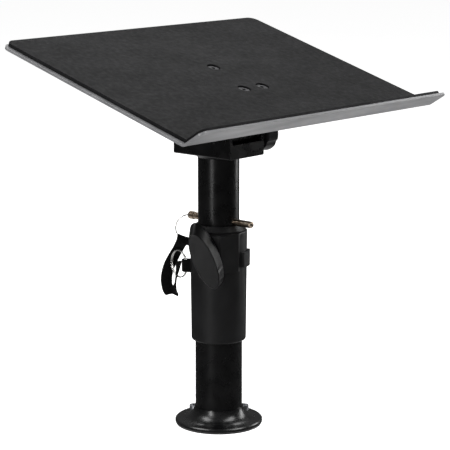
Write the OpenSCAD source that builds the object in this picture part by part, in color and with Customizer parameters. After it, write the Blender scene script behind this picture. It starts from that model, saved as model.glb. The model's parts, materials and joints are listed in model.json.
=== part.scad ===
// Tabletop stand: a padded tilting tray with a front lip, on a telescopic column with a clamp collar,
// a tethered locking pin and a round flange foot. The origin is on the column's axis at the table's
// surface. +Z is up, the tray's width runs along X, and the lip is on the -Y side.

/* [Foot] */
// Outer radius of the flange
flange_r = 37.4; // [34:0.1:44]
// Height of the flange's flat rim above the table
rim_top = 4.4; // [4:0.1:6]
// Thickness of the rubber ring under the flange
foot_pad_t = 1; // [0.6:0.1:1.5]
// Radius of the clearance hole for the table bolt
table_hole_r = 5.25; // [5:0.05:6]
// Direction that the flange's two screws straddle, measured from +X
flange_turn = 41; // [0:1:90]

/* [Column] */
// Outer radius of the lower tube
lower_r = 20; // [19:0.1:21]
// Wall of the lower tube
lower_wall = 1.8; // [1.5:0.1:2]
// Outer radius of the upper tube
upper_r = 17.5; // [17.3:0.1:17.7]
// Wall of the upper tube
upper_wall = 1.7; // [1.5:0.1:2]
// Height of the top of the lower tube
lower_top = 127.8; // [120:0.1:127.8]
// Height of the upper tube's lower end at the lowest setting
upper_foot = 44; // [40:0.5:50]
// Height of the underside of the tilt bracket
bracket_z = 234; // [230:0.5:250]
// Distance between the cross holes of the upper tube
hole_pitch = 30; // [30:1:32]

/* [Collar] */
// Height of the lower end of the collar
collar_z = 74.5; // [72:0.5:80]
// Height of the upper end of the collar
collar_top = 169.6; // [169:0.1:171]
// Outer radius of the collar at its lower end
collar_low_r = 23.3; // [23:0.1:24]
// Outer radius of the collar at its upper end
collar_up_r = 24.2; // [24:0.1:24.6]
// Height of the clamp screw's axis
clamp_z = 152; // [150:0.5:154]
// Direction of the clamp screw, measured from -Y towards -X
clamp_turn = 65; // [55:1:75]
// Turn of the clamp knob about its own screw
knob_turn = 25; // [-30:1:30]

/* [Locking pin] */
// Height of the locking pin's axis
pin_z = 177.75; // [177.72:0.01:177.8]
// Radius of the locking pin
pin_r = 2.9; // [2.8:0.05:3]
// Distance of the pin's rounded tip in front of the axis
pin_tip = 37.5; // [34:0.5:40]
// Distance of the end of the pin's head behind the axis
pin_back = 33.3; // [32.5:0.1:34]

/* [Tray] */
// Width of the tray
tray_w = 312; // [300:1:320]
// Depth of the tray from its rear edge to the lip's bend
tray_d = 208; // [200:1:215]
// Thickness of the tray's sheet steel
sheet_t = 2; // [1.5:0.1:2.5]
// Thickness of the tray's mat
mat_t = 3; // [2:0.1:4]
// Width of the front lip, measured along its slope
lip_w = 21.6; // [18:0.1:25]
// Angle of the lip against the tray
lip_angle = 49; // [40:1:60]
// Angle of the tray against the horizontal
tilt = 17; // [10:1:24]
// Gap from the tray's side edges to the mat
mat_inset = 4; // [3:0.5:6]
// Radius of the tray's rear corners
corner_r = 10; // [6:1:14]

/* [Tilt bracket] */
// Length of the fixed bracket along Y
bracket_l = 63; // [60:1:66]
// Outer width of the fixed bracket
bracket_w = 43; // [42:0.5:46]
// Distance of the tilt bolt in front of the column's axis
pivot_y = 20; // [18:0.5:21]
// Height of the tilt bolt
pivot_z = 250; // [249:0.5:252]
// Height of the tray sheet's upper face above the tilt bolt
tray_rise = 43.7; // [42:0.1:46]
// Distance of the tray's centre behind the tilt bolt, along the tray
tray_back = 29.3; // [28:0.1:31]
// Radius of the tilt knob
tilt_knob_r = 15; // [12:0.5:15]

/* [Hidden] */

bore_fn = 96;
small_fn = 48;
lower_in = lower_r - lower_wall;
upper_in = upper_r - upper_wall;
bush_out = 19.45;
bush_in = upper_r + 0.05;
bush_top = pin_z - pin_r - 0.15;
plug_top = 32;
rivet_z = 23.5;
rivet_turn = 26;
screw_spread = 41;
screw_circle = 32.3;
boss_r = 28;
boss_z = 137;
boss_top = collar_top - 0.6;
lug_r = 26.6;
lug_z = 139.5;
lug_h = 13;
tab_z = 136.5;
tab_in = 21.8;
tab_out = 32.7;
tab_half = 3.2;
tab_h = 11.5;
nut_in = 21;
nut_t = 5.6;
stud_r = 3.95;
stud_in = 19.95;
knob_in = 28.7;
knob_out = 45.5;
hole_r = pin_r + 0.1;
head_r = 3.4;
head_l = 6;
ring_r = 11.3;
wire_r = 0.55;
// Centre of the wire ring in the lanyard's own axes
ring_at = [-25.5, 20.7, 166.63];
bracket_t = 3;
side_top = 264;
front_top = 246;
yoke_w = 36.2;
yoke_t = 2.5;
yoke_front = -45;
yoke_rear = 20;
pivot_r = 3.95;
sink_r = 6.6;
tilt_knob_x = bracket_w / 2 + 1.7;
// Places of the tray's screws in the tray's own plane, from its centre
tray_screw_xy = [[-11.5, -34], [11.5, -34], [0, 11.5]];
screw_hole_r = 5.8;
screw_r = 2.45;
lip_corner = 6;
// Outer radius of the bend between the tray and its lip
bend_r = sheet_t + 4;

// Turn of the vertical plane that the wire ring hangs in, measured from -Y.
hang_turn = 41.4;

// Route of the lanyard's webbing: distance out from the axis, distance across, height, and the
// direction that the webbing's width runs in, all before the turn by hang_turn.
strap_route = [[-31.9, 20.8, 154.1, 0], [-32.8, 22, 152, 0], [-34.2, 25.4, 148.6, 5], [-38.4, 29.6, 140.6, 8],
               [-43.2, 30.2, 130.4, 2], [-45.2, 27.2, 121.8, -2], [-44.8, 25.8, 115, -8],
               [-43, 23.2, 110.6, -20], [-40.4, 19.8, 109.2, -40], [-38.2, 16.6, 111.2, -60],
               [-37.3, 14, 116.4, -80], [-36.6, 13, 124, -88], [-35.2, 14.4, 131, -78], [-34.2, 17.2, 138, -62]];
strap_w = 10;
strap_t = 1.3;

// ---------------------------------------------------------------- helpers

// Places its children along the clamp screw: X of the child runs outward from the column's axis.
module along_clamp() {
    translate([0, 0, clamp_z]) rotate([0, 0, -90 - clamp_turn]) children();
}

// Puts children drawn in the tray's own plane at the tray's tilt, origin at the sheet's upper face.
module on_tray() {
    translate([0, -pivot_y, pivot_z]) rotate([tilt, 0, 0]) translate([0, tray_back, tray_rise]) children();
}

// A washer or tube on the Z axis.
module ring(outer, inner, h, fn = bore_fn) {
    difference() {
        cylinder(r = outer, h = h, $fn = fn);
        translate([0, 0, -1]) cylinder(r = inner, h = h + 2, $fn = fn);
    }
}

// A solid cylinder along +X from its origin.
module rod_x(r, l, fn = small_fn) {
    rotate([0, 90, 0]) cylinder(r = r, h = l, $fn = fn);
}

// Points of an arc in the plane.
function arc(cx, cy, r, a0, a1, n) =
    [for (i = [0:n]) [cx + r * cos(a0 + (a1 - a0) * i / n), cy + r * sin(a0 + (a1 - a0) * i / n)]];

// Plan outline of a sheet with two rounded rear corners.
module rear_rounded(w, d, r) {
    polygon(concat([[-w / 2, -d / 2], [w / 2, -d / 2]],
                   arc(w / 2 - r, d / 2 - r, r, 0, 90, 12),
                   arc(-w / 2 + r, d / 2 - r, r, 90, 180, 12)));
}

// ---------------------------------------------------------------- foot

module foot_pad() {
    color("black") ring(flange_r - 0.8, 13.8, foot_pad_t);
}

module at_flange_screws() {
    for (side = [-1, 1])
        rotate([0, 0, flange_turn + side * screw_spread]) translate([screw_circle, 0, 0]) children();
}

module base_flange() {
    flare_r = 12.4;
    color("dimgray") difference() {
        rotate_extrude($fn = bore_fn)
            polygon(concat([[table_hole_r, 0], [13.6, 0], [13.6, foot_pad_t], [flange_r - 0.5, foot_pad_t],
                            [flange_r, foot_pad_t + 0.6],
                            [flange_r, rim_top - 0.8], [flange_r - 0.7, rim_top]],
                           arc(33, rim_top + flare_r, flare_r, 270, 187, 14),
                           [[20.05, rim_top + 10.9], [20.05, rim_top], [table_hole_r, rim_top]]));
        at_flange_screws() {
            translate([0, 0, -1]) cylinder(r = 3.1, h = 12, $fn = small_fn);
            translate([0, 0, rim_top]) cylinder(r = 5.2, h = 12, $fn = small_fn);
        }
    }
}

module flange_screws() {
    color("silver") at_flange_screws() {
        translate([0, 0, foot_pad_t + 0.2]) cylinder(r = 2.95, h = rim_top - foot_pad_t, $fn = small_fn);
        translate([0, 0, rim_top]) difference() {
            cylinder(r = 4.7, h = 3.4, $fn = small_fn);
            translate([0, 0, 1.6]) cylinder(r = 2.3, h = 3, $fn = 6);
        }
    }
}

module tube_plug() {
    color("gainsboro") translate([0, 0, rim_top])
        difference() {
            ring(lower_in - 0.05, 4.25, plug_top - rim_top);
            for (i = [0:2])
                rotate([0, 0, -90 - rivet_turn + 120 * i]) translate([0, 0, rivet_z - rim_top])
                    translate([lower_in - 5, 0, 0]) rod_x(1.6, 8);
        }
}

module plug_rivets() {
    color("dimgray") for (i = [0:2])
        rotate([0, 0, -90 - rivet_turn + 120 * i]) translate([lower_in - 4, 0, rivet_z])
            rod_x(1.55, lower_r - lower_in + 4.05);
}

// ---------------------------------------------------------------- column

module lower_tube() {
    color("black") difference() {
        translate([0, 0, rim_top]) ring(lower_r, lower_in, lower_top - rim_top);
        for (i = [0:2])
            rotate([0, 0, -90 - rivet_turn + 120 * i]) translate([lower_in - 5, 0, rivet_z]) rod_x(1.6, 10);
    }
}

module collar_boss() {
    intersection() {
        rotate([90, 0, 0]) translate([0, 0, -15]) linear_extrude(30)
            polygon([[8, boss_z - 12 - clamp_z], [22, boss_z - 6 - clamp_z], [boss_r, boss_z - clamp_z],
                     [boss_r, boss_top - 0.8 - clamp_z], [boss_r - 0.8, boss_top - clamp_z],
                     [8, boss_top - clamp_z]]);
        translate([0, 0, -60]) linear_extrude(100)
            polygon([[6, -11.6], [boss_r - 1, -9.9], [boss_r, -8.9], [boss_r, 8.9], [boss_r - 1, 9.9], [6, 11.6]]);
    }
}

// A flat panel from the boss's right corner back to the collar's side.
module collar_panel() {
    translate([0, 0, boss_z - clamp_z]) linear_extrude(boss_top - boss_z)
        polygon([[6, 0], [boss_r - 1.5, 0], [boss_r - 0.3, 9.9], [13.5, 21.5], [6, 21.5]]);
}

// A flat-sided lug on the collar's right, a quarter turn from the clamp screw.
module collar_lug() {
    rotate([0, 0, 90]) translate([0, 0, lug_z - clamp_z]) intersection() {
        translate([22, -9, 0]) cube([8, 18, lug_h]);
        cylinder(r = lug_r, h = lug_h, $fn = bore_fn);
    }
}

// Places its children where the tether's tab leaves the collar, with X running outward.
module at_tab() {
    translate([0, 0, tab_z]) rotate([0, 0, 180 - clamp_turn]) children();
}

module clamp_collar() {
    color("black") difference() {
        union() {
            rotate_extrude($fn = bore_fn)
                polygon(concat([[10, collar_z]],
                               arc(collar_low_r - 1.6, collar_z + 1.6, 1.6, -90, 0, 8),
                               arc(collar_up_r - 1, collar_top - 1, 1, 0, 90, 6),
                               [[10, collar_top]]));
            along_clamp() {
                collar_boss();
                collar_panel();
                collar_lug();
            }
        }
        translate([0, 0, collar_z - 1]) cylinder(r = lower_r + 0.04, h = lower_top + 0.2 - collar_z + 1, $fn = bore_fn);
        translate([0, 0, lower_top]) cylinder(r = bush_out + 0.02, h = 60, $fn = bore_fn);
        along_clamp() {
            translate([nut_in - 2.5, 0, 0]) rotate([0, 90, 0]) cylinder(r = 7.6, h = nut_t + 2.6, $fn = 6);
            translate([15, 0, 0]) rod_x(4.3, 20);
        }
        at_tab() translate([tab_in - 0.1, -tab_half - 0.1, -tab_h / 2 - 0.1])
            cube([6, 2 * tab_half + 0.2, tab_h + 0.2]);
    }
}

module collar_bush() {
    color("black") difference() {
        rotate_extrude($fn = bore_fn)
            polygon([[bush_in, lower_top + 0.3], [bush_out, lower_top + 0.3], [bush_out, collar_top + 0.1],
                     [22.2, collar_top + 0.1], [22.2, collar_top + 0.8], [18.9, bush_top], [bush_in, bush_top]]);
        along_clamp() translate([15, 0, 0]) rod_x(4.15, 10);
    }
}

module clamp_nut() {
    color("silver") along_clamp() translate([nut_in - 1, 0, 0]) rotate([0, 90, 0]) difference() {
        cylinder(r = 7.4, h = nut_t, $fn = 6);
        translate([0, 0, -1]) cylinder(r = stud_r + 0.05, h = nut_t + 2, $fn = small_fn);
    }
}

module pressure_pad() {
    color("white") along_clamp() intersection() {
        translate([16, 0, 0]) rod_x(4, 3.85);
        translate([0, 0, -10]) difference() {
            cylinder(r = 30, h = 20, $fn = bore_fn);
            translate([0, 0, -1]) cylinder(r = upper_r + 0.08, h = 22, $fn = bore_fn);
        }
    }
}

module clamp_stud() {
    color("silver") along_clamp() translate([stud_in, 0, 0]) rod_x(stud_r, 38 - stud_in);
}

// An oval disc on its local XY plane, its length along X.
module oval(half, width, h) {
    scale([half, width, 1]) cylinder(r = 1, h = h, $fn = 72);
}

// A hand grip that narrows outward from a long oval base to a shorter oval face set slightly low.
module clamp_knob() {
    color("black") along_clamp() difference() {
        translate([knob_in, 0, 0]) rotate([knob_turn, 0, 0]) rotate([0, 90, 0]) hull() {
            translate([-3, 0, 0]) oval(27.5, 9.6, 3);
            translate([1.5, 0, knob_out - knob_in - 1]) oval(24.5, 9.3, 1);
        }
        translate([knob_in - 1, 0, 0]) rod_x(stud_r, 38 - knob_in + 1);
    }
}

// ---------------------------------------------------------------- lanyard

// Turns the lanyard's own axes into the stand's.
module hang() {
    rotate([0, 0, -90 + hang_turn]) children();
}

module torus(r, wire, fn = 64) {
    rotate_extrude($fn = fn) translate([r, 0]) circle(r = wire, $fn = 16);
}

// A folded webbing tab that holds the split ring, with an upright slot for the ring.
module tether_tab() {
    color("black") at_tab() translate([0, 0, -tab_h / 2]) difference() {
        union() {
            translate([tab_in, -tab_half, 0]) cube([tab_out - tab_half - tab_in, 2 * tab_half, tab_h]);
            translate([tab_out - tab_half, 0, 0]) cylinder(r = tab_half, h = tab_h, $fn = small_fn);
        }
        translate([25, -2.3, -1]) cube([4.6, 4.6, tab_h + 2]);
        translate([29.5, 0, -1]) cylinder(r = 2.3, h = tab_h + 2, $fn = small_fn);
    }
}

module split_ring() {
    color("silver") hang() translate([-33.95, 17.5, 135.7]) rotate([0, 0, -55]) rotate([90, 0, 0])
        for (i = [-1, 1]) translate([0, 0, i * 0.55]) torus(11.6, 0.5);
}

module wire_ring() {
    color("silver") hang() translate(ring_at) rotate([90, 0, 0]) torus(ring_r, wire_r);
}

function cross3(a, b) = [a[1] * b[2] - a[2] * b[1], a[2] * b[0] - a[0] * b[2], a[0] * b[1] - a[1] * b[0]];
function unit(v) = v / norm(v);
function spline(a, b, c, d, t) =
    0.5 * (2 * b + (c - a) * t + (2 * a - 5 * b + 4 * c - d) * t * t + (3 * b - a - 3 * c + d) * t * t * t);

strap_steps = 4;
strap_n = len(strap_route) - 1;
function route_at(i) = strap_route[max(0, min(strap_n, i))];
strap_points = [for (i = [0:strap_n * strap_steps])
    let (k = min(strap_n - 1, floor(i / strap_steps)), t = i / strap_steps - k)
    spline(route_at(k - 1), route_at(k), route_at(k + 1), route_at(k + 2), t)];
strap_last = len(strap_points) - 1;
function xyz(p) = [p[0], p[1], p[2]];
// Corners of the webbing's section at ring i: its width lies along the point's own direction.
function strap_ring(i) =
    let (p = xyz(strap_points[i]),
         ahead = xyz(strap_points[min(strap_last, i + 1)]) - xyz(strap_points[max(0, i - 1)]),
         lie = [cos(strap_points[i][3]), sin(strap_points[i][3]), 0],
         along = unit(ahead),
         flat = unit(lie - along * (lie * along)),
         thin = cross3(along, flat),
         w = flat * strap_w / 2,
         h = thin * strap_t / 2,
         e = flat * (strap_w / 2 - 0.4))
    [p + w, p + e + h, p - e + h, p - w, p - e - h, p + e - h];

module lanyard_strap() {
    sides = 6;
    color("black") hang() polyhedron(
        points = [for (i = [0:strap_last]) each strap_ring(i)],
        faces = concat(
            [[for (j = [0:sides - 1]) j]],
            [for (i = [0:strap_last - 1]) for (j = [0:sides - 1])
                [i * sides + j, (i + 1) * sides + j, (i + 1) * sides + (j + 1) % sides]],
            [for (i = [0:strap_last - 1]) for (j = [0:sides - 1])
                [i * sides + j, (i + 1) * sides + (j + 1) % sides, i * sides + (j + 1) % sides]],
            [[for (j = [sides - 1:-1:0]) strap_last * sides + j]]));
}

// ---------------------------------------------------------------- mast

module locking_pin() {
    color("tan") difference() {
        translate([0, -pin_tip, pin_z]) rotate([-90, 0, 0]) rotate_extrude($fn = small_fn)
            polygon(concat([[0, 0]], arc(pin_r - 2, 2, 2, -90, 0, 8),
                           [[pin_r, pin_tip + pin_back - head_l], [head_r, pin_tip + pin_back - head_l],
                            [head_r, pin_tip + pin_back - 1], [head_r - 1, pin_tip + pin_back],
                            [0, pin_tip + pin_back]]));
        hang() translate(ring_at) rotate([90, 0, 0]) torus(ring_r, wire_r + 0.4);
    }
}

module upper_tube() {
    color("black") difference() {
        translate([0, 0, upper_foot]) ring(upper_r, upper_in, bracket_z - upper_foot);
        for (k = [-3:0])
            translate([0, -30, pin_z + k * hole_pitch]) rotate([-90, 0, 0]) cylinder(r = hole_r, h = 60, $fn = small_fn);
    }
}

module tube_guide() {
    color("white") difference() {
        union() {
            translate([0, 0, upper_foot - 4]) cylinder(r = lower_in - 0.06, h = 4, $fn = bore_fn);
            translate([0, 0, upper_foot]) cylinder(r = upper_in - 0.03, h = 8, $fn = bore_fn);
        }
        translate([0, 0, upper_foot - 5]) cylinder(r = upper_in - 2.4, h = 20, $fn = bore_fn);
    }
}

module mast_bracket() {
    half_w = bracket_w / 2;
    half_l = bracket_l / 2;
    color("black") difference() {
        union() {
            translate([-half_w, -half_l, bracket_z]) cube([bracket_w, bracket_l, bracket_t]);
            for (x = [-half_w, half_w - bracket_t])
                translate([x, -half_l, bracket_z]) cube([bracket_t, bracket_l, side_top - bracket_z]);
            translate([-half_w, -half_l, bracket_z]) cube([bracket_w, bracket_t, front_top - bracket_z]);
            rotate_extrude($fn = bore_fn)
                polygon([[upper_r, bracket_z - 2.4], [upper_r + 2.6, bracket_z], [upper_r, bracket_z]]);
        }
        translate([-half_w - 1, -pivot_y, pivot_z]) rod_x(pivot_r + 0.05, bracket_w + 2);
        translate([-half_w, -pivot_y, pivot_z]) rotate([0, 90, 0])
            cylinder(r1 = sink_r + 0.05, r2 = pivot_r + 0.05, h = sink_r - pivot_r, $fn = small_fn);
        for (x = [-1, 1])
            translate([x * half_w, 0, bracket_z]) rotate([0, 45, 0]) cube([1.2, bracket_l + 2, 1.2], center = true);
    }
}

// A bolt whose countersunk head lies flush in the bracket's left wall.
module tilt_bolt() {
    color("silver") translate([-bracket_w / 2, -pivot_y, pivot_z]) rotate([0, 90, 0])
        rotate_extrude($fn = small_fn)
            polygon([[0, 0.05], [sink_r - 0.05, 0.05], [pivot_r, sink_r - pivot_r], [pivot_r, bracket_w / 2 + 33],
                     [0, bracket_w / 2 + 33]]);
}

module tilt_spacer() {
    color("silver") translate([-yoke_w / 2 + yoke_t + 0.2, -pivot_y, pivot_z]) rotate([0, 90, 0])
        ring(6.2, pivot_r + 0.05, yoke_w - 2 * yoke_t - 0.4, small_fn);
}

module tilt_washer() {
    color("silver") translate([bracket_w / 2, -pivot_y, pivot_z]) rotate([0, 90, 0])
        ring(8.4, pivot_r + 0.05, 1.6, small_fn);
}

module tilt_insert() {
    color("gold") translate([tilt_knob_x, -pivot_y, pivot_z]) rotate([0, 90, 0])
        ring(6, pivot_r + 0.05, 11.5, small_fn);
}

module tilt_knob() {
    lobes = 6;
    knob_l = 14.6;
    color("black") translate([tilt_knob_x, -pivot_y, pivot_z]) rotate([0, 90, 0]) difference() {
        rotate_extrude($fn = bore_fn)
            polygon(concat([[0, 0], [9, 0], [9, 2.4], [tilt_knob_r - 1, 2.4]],
                           arc(tilt_knob_r - 2.6, knob_l - 2.6, 2.6, 0, 90, 8),
                           [[0, knob_l]]));
        for (i = [0:lobes - 1])
            rotate([0, 0, 360 * i / lobes]) translate([tilt_knob_r + 2.2, 0, 2]) cylinder(r = 4, h = 20, $fn = small_fn);
        translate([0, 0, -1]) cylinder(r = 6, h = 12.5, $fn = small_fn);
    }
}

// ---------------------------------------------------------------- tray

module tray_bracket() {
    half = yoke_w / 2;
    drop = tray_rise - sheet_t;
    pivot_in_tray = -tray_back;
    color("black") on_tray() difference() {
        union() {
            translate([-half, yoke_front, -sheet_t - yoke_t]) cube([yoke_w, yoke_rear - yoke_front, yoke_t]);
            for (x = [-half, half - yoke_t])
                translate([x, 0, -sheet_t]) rotate([90, 0, 90]) linear_extrude(yoke_t) union() {
                    translate([pivot_in_tray, -drop]) circle(r = 8, $fn = small_fn);
                    polygon([[pivot_in_tray - 8, -drop], [pivot_in_tray + 8, -drop],
                             [yoke_rear, -14], [yoke_rear, 0], [yoke_front, 0], [yoke_front, -14]]);
                }
        }
        translate([-half - 1, pivot_in_tray, -tray_rise]) rod_x(pivot_r + 0.06, yoke_w + 2);
        for (p = tray_screw_xy)
            translate([p[0], p[1], -10]) cylinder(r = screw_r + 0.1, h = 20, $fn = small_fn);
    }
}

// Section through the tray's sheet and lip, raised by "up" from the lower face and "t" thick.
module lip_section(up, t, rear, lip) {
    r_out = bend_r - up;
    r_in = r_out - t;
    cy = -tray_d / 2 + bend_r * tan(lip_angle / 2);
    cz = -sheet_t + bend_r;
    c = cos(lip_angle);
    s = sin(lip_angle);
    polygon(concat([[rear, -sheet_t + up], [rear, -sheet_t + up + t]],
                   arc(cy, cz, r_in, 270, 270 - lip_angle, 8),
                   [[cy - r_in * s - lip * c, cz - r_in * c + lip * s],
                    [cy - r_out * s - lip * c, cz - r_out * c + lip * s]],
                   arc(cy, cz, r_out, 270 - lip_angle, 270, 8)));
}

// Cuts the two upper corners of the lip round, drawn in the lip's own plane.
module lip_corner_cut(w, r, lip) {
    cy = -tray_d / 2 + bend_r * tan(lip_angle / 2);
    for (side = [-1, 1])
        translate([0, cy, -sheet_t + bend_r]) rotate([-lip_angle, 0, 0]) translate([side * w / 2, -lip, -20])
            difference() {
                translate([-r, -1, 0]) cube([2 * r, r + 1, 40]);
                translate([-side * r, r, -1]) cylinder(r = r, h = 42, $fn = small_fn);
            }
}

module bent_sheet(w, up, t, rear, lip, r) {
    difference() {
        rotate([90, 0, 90]) translate([0, 0, -w / 2]) linear_extrude(w) lip_section(up, t, rear, lip);
        difference() {
            translate([-w, 0, -10]) cube([2 * w, tray_d, 20]);
            translate([0, 0, -11]) linear_extrude(22) rear_rounded(w, 2 * rear, r);
        }
        lip_corner_cut(w, lip_corner, lip);
    }
}

module tray_plate() {
    lip = lip_w - 2;
    color("gray") on_tray() difference() {
        bent_sheet(tray_w, 0, sheet_t, tray_d / 2, lip, corner_r);
        for (p = tray_screw_xy)
            translate([p[0], p[1], -10]) cylinder(r = screw_r + 0.1, h = 20, $fn = small_fn);
    }
}

module tray_mat() {
    lip = lip_w - 4;
    color("black") on_tray() difference() {
        bent_sheet(tray_w - 2 * mat_inset, sheet_t + 0.02, mat_t, tray_d / 2 - 0.4, lip, corner_r - 2);
        for (p = tray_screw_xy)
            translate([p[0], p[1], -10]) cylinder(r = screw_hole_r, h = 20, $fn = small_fn);
    }
}

module tray_screws() {
    color("dimgray") on_tray() for (p = tray_screw_xy) translate([p[0], p[1], 0]) {
        translate([0, 0, 0.02]) difference() {
            cylinder(r = 4.8, h = 1.8, $fn = small_fn);
            translate([0, 0, 0.8]) cylinder(r = 1.8, h = 2, $fn = 6);
        }
        translate([0, 0, -11]) cylinder(r = screw_r, h = 11.1, $fn = small_fn);
    }
}

module tray_nuts() {
    color("silver") on_tray() for (p = tray_screw_xy)
        translate([p[0], p[1], -sheet_t - yoke_t - 4.02]) rotate([0, 0, 30]) difference() {
            cylinder(r = 4.6, h = 4, $fn = 6);
            translate([0, 0, -1]) cylinder(r = screw_r + 0.05, h = 6, $fn = small_fn);
        }
}

// ---------------------------------------------------------------- parts

foot_pad();
base_flange();
flange_screws();
tube_plug();
plug_rivets();
lower_tube();
clamp_collar();
collar_bush();
clamp_nut();
pressure_pad();
clamp_stud();
clamp_knob();
tether_tab();
split_ring();
lanyard_strap();
wire_ring();
locking_pin();
upper_tube();
tube_guide();
mast_bracket();
tilt_bolt();
tilt_spacer();
tilt_washer();
tilt_insert();
tilt_knob();
tray_bracket();
tray_plate();
tray_mat();
tray_screws();
tray_nuts();
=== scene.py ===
import json
import math

import bmesh
import bpy
from mathutils import Matrix, Vector


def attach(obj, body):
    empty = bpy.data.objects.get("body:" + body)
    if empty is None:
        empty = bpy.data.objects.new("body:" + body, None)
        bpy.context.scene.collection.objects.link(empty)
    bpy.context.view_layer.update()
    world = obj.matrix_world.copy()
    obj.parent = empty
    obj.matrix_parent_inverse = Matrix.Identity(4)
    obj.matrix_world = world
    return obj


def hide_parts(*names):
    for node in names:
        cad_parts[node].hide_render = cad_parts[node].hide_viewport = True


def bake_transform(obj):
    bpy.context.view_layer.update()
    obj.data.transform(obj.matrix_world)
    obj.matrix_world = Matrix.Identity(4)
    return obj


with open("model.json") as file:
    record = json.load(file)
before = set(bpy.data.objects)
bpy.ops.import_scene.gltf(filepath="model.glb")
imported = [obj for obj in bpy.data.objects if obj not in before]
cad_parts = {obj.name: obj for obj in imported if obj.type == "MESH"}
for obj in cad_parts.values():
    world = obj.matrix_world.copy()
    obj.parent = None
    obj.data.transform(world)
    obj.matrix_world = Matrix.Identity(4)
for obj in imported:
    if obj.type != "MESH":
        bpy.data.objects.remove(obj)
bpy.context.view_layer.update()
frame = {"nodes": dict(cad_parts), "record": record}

MM = 0.001

# ---------------------------------------------------------------- view
# Degrees and metres, and the sensor and the lens in millimetres.

CAMERA_AZIMUTH = -48.64
CAMERA_PITCH = 11.28
CAMERA_DISTANCE = 1.5436
CAMERA_AIM_HEIGHT = 0.173
CAMERA_AIM_RIGHT = 0.00536
SENSOR = 36.0
LENS = 146.16

# ---------------------------------------------------------------- webbing, millimetres
# Each row is a point x, y, z and the direction, in degrees from x, of the webbing's width. These axes
# are the frame's, turned by HANG_TURN about z.

HANG_TURN = -48.6
STRAP_WIDTH = 10.0
STRAP_THICK = 1.3
SPLINE_STEPS = 6

# The hanging loop, from under the wire ring to the split ring. Row 0 only steers the spline: the rise
# runs from row RISE_START to row LOOP_START, and the loop from there to the end.
STRAP_ROUTE = [
    (-32.8, 22, 152, 0), (-34.2, 25.4, 148.6, 5), (-38.4, 29.6, 140.6, 8),
    (-43.2, 30.2, 130.4, 2), (-45.2, 27.2, 121.8, -2), (-44.8, 25.8, 115, -8),
    (-43, 23.2, 110.6, -10), (-40.4, 19.8, 109.2, -18), (-38.2, 16.6, 111.2, -42),
    (-37.3, 14, 116.4, -80), (-36.6, 13, 124, -88), (-35.2, 14.4, 131, -78), (-34.2, 17.2, 138, -62),
]
RISE_START = 1
LOOP_START = 2

# The fold over the wire ring, which ends where the rise starts. FOLD_DROOP is how steeply its top edge
# falls to the right, and FOLD_THICK its thickness as a share of the strap's.
FOLD_DROOP = 0.42
FOLD_THICK = 0.75
FOLD_ROUTE = [
    (-30.9, 22.4, 151.2, 0), (-30.7, 22.3, 154.5, 0), (-30.6, 21.9, 157.4, 0), (-30.6, 21, 158.9, 0),
    (-30.7, 20.0, 159.0, 0), (-30.9, 19.2, 157.6, 0), (-31.4, 19.6, 155.2, 0), (-32.3, 21, 152.9, 0),
    (-34.2, 25.4, 148.6, 5),
]

# Spans along z, in millimetres, for the rise and the fold, from the first body's end to the second's.
# make_lanyard unpacks them with the two bodies but makes nothing stretch between them.
RISE_SPAN = (140.6, 148.0)
FOLD_SPAN = (149.0, 154.5)

# Tab that holds the split ring: its direction round the column in degrees, height, reach and section.
TAB_AZIMUTH = 115.0
TAB_HEIGHT = 136.5
TAB_IN = 22.0
TAB_FLAT_END = 24.5
TAB_OUT = 32.3
TAB_WIDTH = 11.0
TAB_THICK = 0.9
TAB_RADIUS = 2.7
TAB_ARC_STEPS = 14

# Weave of the webbing: distance between its ribs and between its crossing picks.
RIB_PITCH = 1.1
PICK_PITCH = 0.8

# ---------------------------------------------------------------- edge rounding

WELD_DISTANCE = 2e-6
FLAT_ANGLE = math.radians(0.5)
CREASE_ANGLE = math.radians(35)


# ---------------------------------------------------------------- materials

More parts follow.
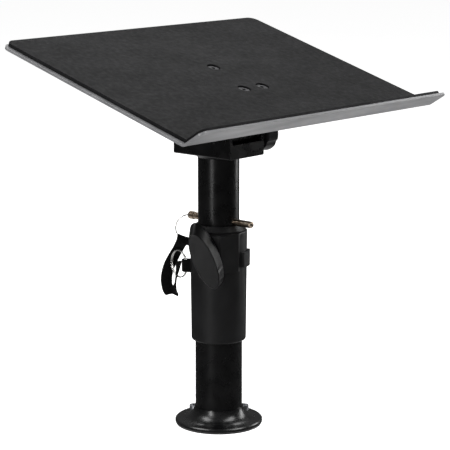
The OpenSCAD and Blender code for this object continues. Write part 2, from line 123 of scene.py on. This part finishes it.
class Finish:
    """A Principled material with the few texture steps that every finish here is made of."""

    def __init__(self, name, color, roughness, metallic=0.0, uv=False, specular=0.3):
        self.mat = bpy.data.materials.new(name)
        self.mat.use_nodes = True
        self.tree = self.mat.node_tree
        self.bsdf = self.tree.nodes["Principled BSDF"]
        self.bsdf.inputs["Base Color"].default_value = (*color, 1)
        self.bsdf.inputs["Roughness"].default_value = roughness
        self.bsdf.inputs["Metallic"].default_value = metallic
        self.bsdf.inputs["Specular IOR Level"].default_value = 0.5 if metallic else specular
        coordinates = self.tree.nodes.new("ShaderNodeTexCoord")
        self.place = coordinates.outputs["UV" if uv else "Object"]
        self.relief = None

    def node(self, kind, **inputs):
        made = self.tree.nodes.new(kind)
        for name, value in inputs.items():
            socket = made.inputs[name.replace("_", " ")]
            if isinstance(value, bpy.types.NodeSocket):
                self.tree.links.new(value, socket)
            else:
                socket.default_value = value
        return made

    def noise(self, scale, detail=2.0, stretch=(1, 1, 1)):
        """Noise of that many cells per metre, longer where stretch is below 1."""
        mapping = self.node("ShaderNodeMapping", Vector=self.place, Scale=stretch)
        made = self.node("ShaderNodeTexNoise", Vector=mapping.outputs[0], Scale=scale, Detail=detail)
        return made.outputs["Fac"]

    def cells(self, scale):
        """Distance to the nearest cell centre of a Voronoi pattern."""
        return self.node("ShaderNodeTexVoronoi", Vector=self.place, Scale=scale).outputs["Distance"]

    def between(self, value, low, high, to_low=0.0, to_high=1.0):
        """Maps low..high to to_low..to_high, held at both ends."""
        made = self.node("ShaderNodeMapRange", Value=value, From_Min=low, From_Max=high,
                         To_Min=to_low, To_Max=to_high)
        return made.outputs[0]

    def math(self, operation, a, b=0.0):
        made = self.tree.nodes.new("ShaderNodeMath")
        made.operation = operation
        for socket, value in zip(made.inputs, (a, b)):
            if isinstance(value, bpy.types.NodeSocket):
                self.tree.links.new(value, socket)
            else:
                socket.default_value = value
        return made.outputs[0]

    def tint(self, factor, low, high):
        """Colours the surface between two colours."""
        made = self.tree.nodes.new("ShaderNodeMix")
        made.data_type = "RGBA"
        self.tree.links.new(factor, made.inputs["Factor"])
        made.inputs[6].default_value = (*low, 1)
        made.inputs[7].default_value = (*high, 1)
        self.tree.links.new(made.outputs[2], self.bsdf.inputs["Base Color"])

    def rough(self, factor, low, high):
        """Varies the roughness between two values."""
        self.tree.links.new(self.between(factor, 0.3, 0.7, low, high), self.bsdf.inputs["Roughness"])

    def bump(self, height, depth, strength=1.0):
        """Relief of that depth in metres, on top of what came before."""
        made = self.node("ShaderNodeBump", Height=height, Distance=depth, Strength=strength)
        if self.relief:
            self.tree.links.new(self.relief, made.inputs["Normal"])
        self.relief = made.outputs[0]
        self.tree.links.new(self.relief, self.bsdf.inputs["Normal"])

    def set(self, **sockets):
        """Sets constant values on the shader's own sockets."""
        for name, value in sockets.items():
            self.bsdf.inputs[name.replace("_", " ")].default_value = value
        return self.mat


def powder_coat(name, dark, light, smooth, coarse, specular=0.3):
    """Powder coat: a fine orange peel, cloudy sheen and a few dusty, paler places."""
    f = Finish(name, dark, smooth, specular=specular)
    dust = f.between(f.noise(60, detail=6), 0.42, 0.72)
    f.tint(dust, dark, light)
    f.rough(f.noise(110, detail=4), smooth, coarse)
    f.bump(f.noise(1500, detail=2), depth=0.06 * MM, strength=0.4)
    f.bump(f.noise(300, detail=2), depth=0.1 * MM, strength=0.1)
    return f.mat


def moulded_plastic(name, dark, light, smooth, coarse, specular=0.2, grain=2600):
    """Moulded plastic: spark-eroded grain, slow sink ripples and handling shine."""
    f = Finish(name, dark, smooth, specular=specular)
    f.tint(f.between(f.noise(45, detail=5), 0.35, 0.7), dark, light)
    f.rough(f.noise(70, detail=4), smooth, coarse)
    f.bump(f.cells(grain), depth=0.05 * MM, strength=0.5)
    f.bump(f.noise(90, detail=2), depth=0.2 * MM, strength=0.2)
    return f.mat


def plated(name, dark, light, smooth, coarse, along=(1, 1, 1)):
    """Plated or bare metal with fine drawn lines along one direction and stained patches."""
    f = Finish(name, dark, smooth, metallic=1.0)
    f.tint(f.between(f.noise(140, detail=6), 0.3, 0.7), dark, light)
    f.rough(f.noise(420, detail=4, stretch=along), smooth, coarse)
    f.bump(f.noise(1800, detail=3, stretch=along), depth=0.03 * MM, strength=0.5)
    return f.mat


def wiped_sheet_painted_reflection():
    """The tray's painted sheet: a glossier dark grey coat with drawn wipe marks, painted paler as a
    painted reflection of the pale table at the lip.
    """
    # Painted reflection: the base and both tint colours are paler than the dark grey coat, standing for
    # the pale table mirrored at the lip.
    f = Finish("tray_paint", (0.06, 0.06, 0.062), 0.3, specular=0.5)
    wipes = f.between(f.noise(50, detail=5, stretch=(0.25, 1, 1)), 0.35, 0.7)
    f.tint(wipes, (0.085, 0.085, 0.088), (0.13, 0.13, 0.134))
    f.rough(f.noise(90, detail=4, stretch=(0.2, 1, 1)), 0.28, 0.42)
    f.bump(f.noise(1500, detail=2), depth=0.05 * MM, strength=0.45)
    return f.mat


def rubber():
    """Matt rubber with dust in its pores."""
    f = Finish("foot_rubber", (0.018, 0.018, 0.018), 0.8)
    f.tint(f.between(f.noise(200, detail=6), 0.4, 0.75), (0.014, 0.014, 0.014), (0.045, 0.043, 0.04))
    f.rough(f.noise(150, detail=3), 0.7, 0.9)
    f.bump(f.noise(1200, detail=4), depth=0.12 * MM, strength=0.6)
    return f.mat


def padding():
    """Brushed soft skin over foam: fine nap, cloudy worn patches and shallow dents."""
    f = Finish("mat_skin", (0.005, 0.005, 0.0052), 0.72, specular=0.07)
    broad = f.between(f.noise(11, detail=5, stretch=(0.4, 1, 1)), 0.32, 0.68)
    small = f.between(f.noise(48, detail=6, stretch=(0.6, 1, 1)), 0.2, 0.8)
    f.tint(f.math("MULTIPLY", broad, small), (0.0026, 0.0026, 0.0028), (0.014, 0.014, 0.0146))
    f.rough(f.noise(240, detail=4), 0.62, 0.82)
    f.bump(f.noise(1900, detail=5), depth=0.18 * MM, strength=0.5)
    f.bump(f.noise(30, detail=3), depth=0.8 * MM, strength=0.22)
    return f.set(Sheen_Weight=0.015, Sheen_Roughness=0.5)


def webbing():
    """Woven nylon tape: ribs along its length crossed by fine picks, with fuzz."""
    f = Finish("webbing", (0.0015, 0.0015, 0.0016), 0.7, uv=True, specular=0.05)
    parts = f.node("ShaderNodeSeparateXYZ", Vector=f.place)
    across = f.math("MULTIPLY", parts.outputs[0], 2 * math.pi / RIB_PITCH)
    along = f.math("MULTIPLY", parts.outputs[1], 2 * math.pi / PICK_PITCH)
    warp = f.math("SINE", across)
    shift = f.math("MULTIPLY", f.math("SIGN", warp), math.pi / 2)
    weft = f.math("SINE", f.math("ADD", along, shift))
    thread = f.math("MULTIPLY", f.math("ABSOLUTE", warp), f.between(weft, -1, 1, 0.35, 1))
    # Painted shade: the tape is tinted darker where its threads dip, between the ribs and under the
    # picks.
    f.tint(f.between(thread, 0.1, 0.9), (0.0006, 0.0006, 0.00065), (0.003, 0.003, 0.0031))
    f.rough(f.noise(2.5, detail=4), 0.6, 0.85)
    f.bump(thread, depth=0.3 * MM, strength=0.8)
    f.bump(f.noise(9, detail=4), depth=0.08 * MM, strength=0.5)
    return f.set(Sheen_Weight=0.01, Sheen_Roughness=0.4)


def make_materials():
    """Every finish, by the name of its slot."""
    return {
        "foot_rubber": rubber(),
        "flange_paint": powder_coat(
            "flange_paint", dark=(0.0025, 0.0025, 0.0027), light=(0.005, 0.005, 0.0053),
            smooth=0.22, coarse=0.29, specular=0.4),
        "zinc_screws": plated(
            "zinc_screws", dark=(0.3, 0.31, 0.33), light=(0.52, 0.53, 0.55), smooth=0.3, coarse=0.5),
        "steel_inner": plated(
            "steel_inner", dark=(0.4, 0.4, 0.41), light=(0.6, 0.6, 0.61), smooth=0.28, coarse=0.45,
            along=(1, 1, 6)),
        "column_paint": powder_coat(
            "column_paint", dark=(0.0012, 0.0012, 0.0013), light=(0.003, 0.003, 0.0032),
            smooth=0.24, coarse=0.34, specular=0.24),
        "collar_plastic": moulded_plastic(
            "collar_plastic", dark=(0.003, 0.003, 0.0032), light=(0.006, 0.006, 0.0064),
            smooth=0.36, coarse=0.5),
        "bush_plastic": moulded_plastic(
            "bush_plastic", dark=(0.003, 0.003, 0.003), light=(0.007, 0.007, 0.0073),
            smooth=0.4, coarse=0.55),
        "nylon": moulded_plastic(
            "nylon", dark=(0.62, 0.6, 0.55), light=(0.74, 0.73, 0.69), smooth=0.4, coarse=0.55,
            grain=900),
        "knob_plastic": moulded_plastic(
            "knob_plastic", dark=(0.003, 0.003, 0.0032), light=(0.008, 0.008, 0.0083),
            smooth=0.3, coarse=0.4, specular=0.16),
        "chrome_ring": plated(
            "chrome_ring", dark=(0.45, 0.44, 0.43), light=(0.72, 0.71, 0.69), smooth=0.16, coarse=0.3),
        "webbing": webbing(),
        "pin_steel": plated(
            "pin_steel", dark=(0.2, 0.145, 0.1), light=(0.52, 0.43, 0.34), smooth=0.2, coarse=0.34,
            along=(1, 0.1, 1)),
        "brass_insert": plated(
            "brass_insert", dark=(0.52, 0.36, 0.13), light=(0.66, 0.49, 0.21), smooth=0.25, coarse=0.4),
        "tray_paint": wiped_sheet_painted_reflection(),
        "mat": padding(),
        "black_screws": plated(
            "black_screws", dark=(0.03, 0.03, 0.032), light=(0.07, 0.07, 0.073), smooth=0.35, coarse=0.5),
    }


def paint(piece, name):
    """Gives a piece the finish of that slot, in place of what it had."""
    piece.data.materials.clear()
    piece.data.materials.append(materials[name])
    return piece


# ---------------------------------------------------------------- mesh helpers

def hang(x, y, z):
    """A point of the lanyard's own axes, in millimetres, in the frame's axes in metres."""
    return Matrix.Rotation(math.radians(HANG_TURN), 4, "Z") @ Vector((x, y, z)) * MM


def catmull(a, b, c, d, t):
    """The Catmull-Rom spline between b and c, at t from 0 to 1."""
    square = 2 * a - 5 * b + 4 * c - d
    cube = 3 * b - a - 3 * c + d
    return 0.5 * (2 * b + (c - a) * t + square * t * t + cube * t ** 3)


def smooth_route(rows, first, last, droop=0.0):
    """Points and width directions along the spline through rows, from row first to row last.

    The width falls to the right by droop halfway along, and by nothing at the ends.
    """
    def row_at(i):
        return Vector(rows[max(0, min(len(rows) - 1, i))])

    points, lies = [], []
    steps = (last - first) * SPLINE_STEPS
    for step in range(steps + 1):
        k = min(first + step // SPLINE_STEPS, last - 1)
        t = (first * SPLINE_STEPS + step) / SPLINE_STEPS - k
        x, y, z, degrees = catmull(row_at(k - 1), row_at(k), row_at(k + 1), row_at(k + 2), t)
        turn = math.radians(degrees)
        fall = droop * math.sin(math.pi * step / steps)
        points.append(hang(x, y, z))
        lies.append(hang(math.cos(turn), math.sin(turn), -fall).normalized())
    return points, lies


def tape(name, points, lies, width, thick):
    """A flat woven tape with rounded edges that follows points, its width along lies."""
    half, soft = width / 2, thick / 2
    corner, corner_height, crown = half - soft * 0.3, soft * 0.7, soft * 1.12
    upper = [(half, 0), (corner, corner_height), (half - soft, soft), (0, crown),
             (soft - half, soft), (-corner, corner_height)]
    section = upper + [(-a, -b) for a, b in upper]
    bm = bmesh.new()
    uv = bm.loops.layers.uv.new("tape")
    rings, runs, run = [], [], 0.0
    for i, point in enumerate(points):
        ahead = (points[min(i + 1, len(points) - 1)] - points[max(i - 1, 0)]).normalized()
        flat = (lies[i] - ahead * lies[i].dot(ahead)).normalized()
        thin = ahead.cross(flat)
        rings.append([bm.verts.new(point + flat * a + thin * b) for a, b in section])
        run += (point - points[i - 1]).length / MM if i else 0
        runs.append(run)
    count = len(section)
    for i in range(len(rings) - 1):
        for j in range(count):
            k = (j + 1) % count
            face = bm.faces.new((rings[i][j], rings[i + 1][j], rings[i + 1][k], rings[i][k]))
            places = ((j, i), (j, i + 1), (k, i + 1), (k, i))
            for loop, (column, row) in zip(face.loops, places):
                loop[uv].uv = (section[column][0] / MM, runs[row])
            face.smooth = True
    bm.faces.new(rings[0])
    bm.faces.new(reversed(rings[-1]))
    bmesh.ops.recalc_face_normals(bm, faces=bm.faces)
    return new_piece(name, bm)


def new_piece(name, bm):
    """An object in the scene that is made of that mesh."""
    mesh = bpy.data.meshes.new(name)
    bm.to_mesh(mesh)
    bm.free()
    piece = bpy.data.objects.new(name, mesh)
    bpy.context.scene.collection.objects.link(piece)
    return piece


def softened(node, name, radius, segments=3):
    """A copy of a CAD node with its sharp edges rounded, which stands for that node."""
    bm = bmesh.new()
    bm.from_mesh(frame["nodes"][node].data)
    bmesh.ops.remove_doubles(bm, verts=bm.verts, dist=WELD_DISTANCE)
    bmesh.ops.dissolve_limit(bm, angle_limit=FLAT_ANGLE, verts=bm.verts, edges=bm.edges)
    sharp = [e for e in bm.edges if len(e.link_faces) == 2 and e.calc_face_angle(0) > CREASE_ANGLE]
    bmesh.ops.bevel(bm, geom=sharp, offset=radius, segments=segments, profile=0.5, affect="EDGES",
                    clamp_overlap=True)
    for face in bm.faces:
        face.smooth = True
    piece = new_piece(name, bm)
    piece.data.set_sharp_from_angle(angle=CREASE_ANGLE)
    piece.modifiers.new("even", "WEIGHTED_NORMAL").keep_sharp = True
    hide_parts(node)
    return piece


# ---------------------------------------------------------------- camera, light and floor

def place_camera():
    """Places the camera, and returns the level directions to its right and ahead of it."""
    azimuth, pitch = math.radians(CAMERA_AZIMUTH), math.radians(CAMERA_PITCH)
    right = Vector((math.cos(azimuth), math.sin(azimuth), 0))
    level = Vector((-math.sin(azimuth), math.cos(azimuth), 0))
    ahead = level * math.cos(pitch) - Vector((0, 0, math.sin(pitch)))
    up = right.cross(ahead)
    aim = Vector((0, 0, CAMERA_AIM_HEIGHT)) + right * CAMERA_AIM_RIGHT
    data = bpy.data.cameras.new("camera")
    data.sensor_width = SENSOR
    data.lens = LENS
    camera = bpy.data.objects.new("camera", data)
    turned = Matrix((right, up, -ahead)).transposed().to_4x4()
    camera.matrix_world = Matrix.Translation(aim - ahead * CAMERA_DISTANCE) @ turned
    bpy.context.scene.collection.objects.link(camera)
    bpy.context.scene.camera = camera
    return right, level


def softbox(name, place, target, size, power):
    """A rectangular area light that faces a target."""
    data = bpy.data.lights.new(name, "AREA")
    data.shape = "RECTANGLE"
    data.size, data.size_y = size
    data.energy = power
    lamp = bpy.data.objects.new(name, data)
    lamp.location = place
    lamp.rotation_euler = (Vector(target) - Vector(place)).to_track_quat("-Z", "Y").to_euler()
    bpy.context.scene.collection.objects.link(lamp)


def surround():
    """A dim surround that brightens straight down, as a pale table does, and a little overhead."""
    world = bpy.data.worlds.new("studio")
    world.use_nodes = True
    tree = world.node_tree
    place = tree.nodes.new("ShaderNodeTexCoord")
    parts = tree.nodes.new("ShaderNodeSeparateXYZ")
    ramp = tree.nodes.new("ShaderNodeValToRGB")
    rise = tree.nodes.new("ShaderNodeMapRange")
    rise.inputs["From Min"].default_value = -1
    tree.links.new(place.outputs["Generated"], parts.inputs[0])
    tree.links.new(parts.outputs[2], rise.inputs["Value"])
    tree.links.new(rise.outputs[0], ramp.inputs[0])
    below, horizon = ramp.color_ramp.elements
    overhead = ramp.color_ramp.elements.new(1.0)
    for element, position, level in ((below, 0.2, 0.8), (horizon, 0.36, 0.035), (overhead, 1.0, 0.22)):
        element.position = position
        element.color = (level, level, level, 1)
    tree.links.new(ramp.outputs[0], tree.nodes["Background"].inputs["Color"])
    bpy.context.scene.world = world


def light_studio(right, level):
    """A tall softbox beside the camera, one behind on the right for the edges, and three overhead.

    Each row is a name, metres to the camera's right, ahead and up, the size in metres, and watts.
    """
    surround()
    middle = (0, 0, 0.15)
    for name, side, ahead, height, size, power in (
        ("left_tall", -0.95, -1.25, 0.5, (0.3, 1.1), 14),
        ("right_tall", 1.25, 0.75, 0.5, (0.4, 1.1), 11),
        ("left_high", -0.8, -0.3, 1.6, (0.75, 1.5), 30),
        ("right_high", 0.8, -0.3, 1.6, (0.65, 1.5), 25),
        ("back_high", 0.1, 1.1, 1.5, (1.2, 0.5), 9),
    ):
        softbox(name, right * side + level * ahead + Vector((0, 0, height)), middle, size, power)
    bpy.context.scene.view_settings.view_transform = "Standard"


def lay_floor():
    """A pale table top. Gloss on the object sees the studio's own surround in its place."""
    bm = bmesh.new()
    bmesh.ops.create_grid(bm, x_segments=8, y_segments=8, size=15)
    floor = new_piece("floor", bm)
    f = Finish("floor", (0.6, 0.6, 0.6), 0.7)
    f.tint(f.noise(3, detail=4), (0.59, 0.59, 0.595), (0.62, 0.62, 0.62))
    f.rough(f.noise(8, detail=4), 0.6, 0.8)
    f.bump(f.noise(400, detail=3), depth=0.2 * MM, strength=0.1)
    f.set(Emission_Color=(1, 1, 1, 1), Emission_Strength=0.85)
    floor.data.materials.append(f.mat)
    floor.visible_glossy = False


# ---------------------------------------------------------------- soft pieces

def make_lanyard():
    """The webbing loop: a fold on the wire ring, a rise, and the loop that ends at the split ring."""
    width, thick = STRAP_WIDTH * MM, STRAP_THICK * MM
    points, lies = smooth_route(STRAP_ROUTE, LOOP_START, len(STRAP_ROUTE) - 1)
    loop = tape("lanyard_loop", points, lies, width, thick)
    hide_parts("lanyard_strap")
    rise = tape("lanyard_rise", *smooth_route(STRAP_ROUTE, RISE_START, LOOP_START), width, thick)
    fold_points, fold_lies = smooth_route(FOLD_ROUTE, 0, len(FOLD_ROUTE) - 1, FOLD_DROOP)
    fold = tape("lanyard_fold", fold_points, fold_lies, width, thick * FOLD_THICK)
    for piece in (loop, rise, fold):
        paint(piece, "webbing")
    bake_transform(loop)
    for piece, first, second, (low, high) in (
        (rise, "slide_guide", "mast", RISE_SPAN),
        (fold, "mast", "pin", FOLD_SPAN),
    ):
        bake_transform(piece)


def make_tab():
    """The sewn tab: webbing folded back on itself around the split ring."""
    centre = TAB_OUT - TAB_RADIUS
    outline = [(TAB_IN, -TAB_RADIUS), (TAB_FLAT_END, -TAB_RADIUS)]
    for i in range(TAB_ARC_STEPS + 1):
        angle = math.pi * i / TAB_ARC_STEPS
        outline.append((centre + TAB_RADIUS * math.sin(angle), -TAB_RADIUS * math.cos(angle)))
    outline += [(TAB_FLAT_END, TAB_RADIUS), (TAB_IN, TAB_RADIUS)]
    turn = Matrix.Rotation(math.radians(TAB_AZIMUTH), 4, "Z")
    points = [turn @ Vector((x, y, TAB_HEIGHT)) * MM for x, y in outline]
    lies = [Vector((0, 0, 1))] * len(points)
    tab = paint(tape("tether_loop", points, lies, TAB_WIDTH * MM, TAB_THICK * MM), "webbing")
    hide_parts("tether_tab")
    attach(tab, "base")


def make_mat():
    """The tray's padded mat, a foam sheet with rounded edges."""
    mat = paint(softened("tray_mat", "tray_pad", 1.1 * MM, 4), "mat")
    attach(mat, "tray")


# ---------------------------------------------------------------- hard pieces

def make_softened():
    """Hard pieces whose moulded or pressed edges catch the light."""
    for node, name, radius, body, slot in (
        ("clamp_knob", "clamp_grip", 1.2 * MM, "clamp_screw", "knob_plastic"),
        ("clamp_collar", "collar_shell", 0.7 * MM, "base", "collar_plastic"),
        ("tray_plate", "tray_sheet", 0.35 * MM, "tray", "tray_paint"),
        ("mast_bracket", "mast_channel", 0.5 * MM, "mast", "column_paint"),
    ):
        piece = paint(softened(node, name, radius), slot)
        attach(piece, body)


def finish_nodes():
    """Gives every CAD node the finish of its slot."""
    for part in frame["record"]["subparts"]:
        paint(frame["nodes"][part["node"]], part["material_slot"])


right, level = place_camera()
materials = make_materials()
finish_nodes()
make_lanyard()
make_tab()
make_mat()
make_softened()
light_studio(right, level)
lay_floor()
